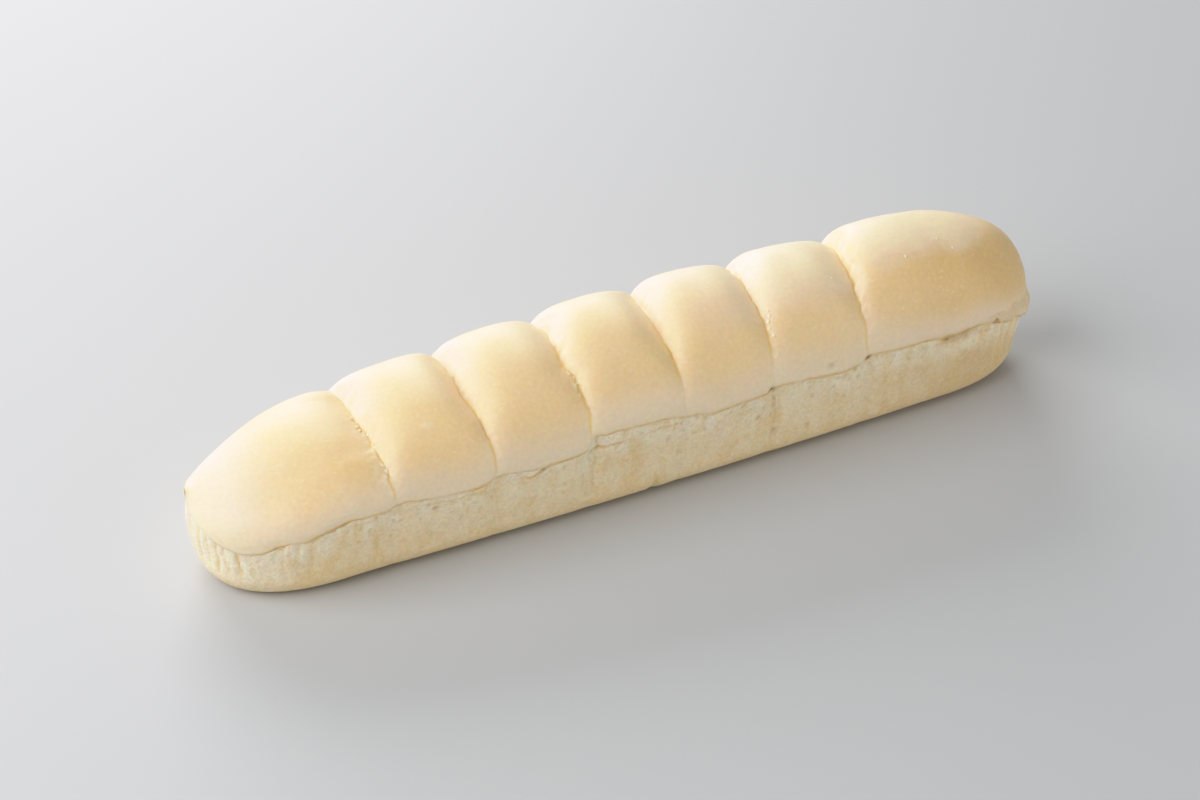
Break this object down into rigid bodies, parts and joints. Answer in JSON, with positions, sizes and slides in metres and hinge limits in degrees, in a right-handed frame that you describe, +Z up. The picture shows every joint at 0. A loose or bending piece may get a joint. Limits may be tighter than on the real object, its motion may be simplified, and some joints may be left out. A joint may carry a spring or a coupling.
{
  "type": "pull-apart bread",
  "caption": "Long pale soft bread of buns baked in one row: domes meet in creases over a paler, open-crumbed side wall on a flat base, and the buns pull apart to share.",
  "frame": {"origin": "centre of the bread's box in plan, on the surface that it rests on", "axes": "+X along the bread towards its taller, narrower end, +Z up; the side seen in the picture faces -Y"},
  "size_m": [0.3324, 0.065, 0.0685],
  "materials": {
    "crust": "soft matt bread skin, cream on the crowns, light tan on the sides, pale open crumb on the wall"
  },
  "bodies": {
    "root": {"loaf": "crust"}
  },
  "joints": []
}
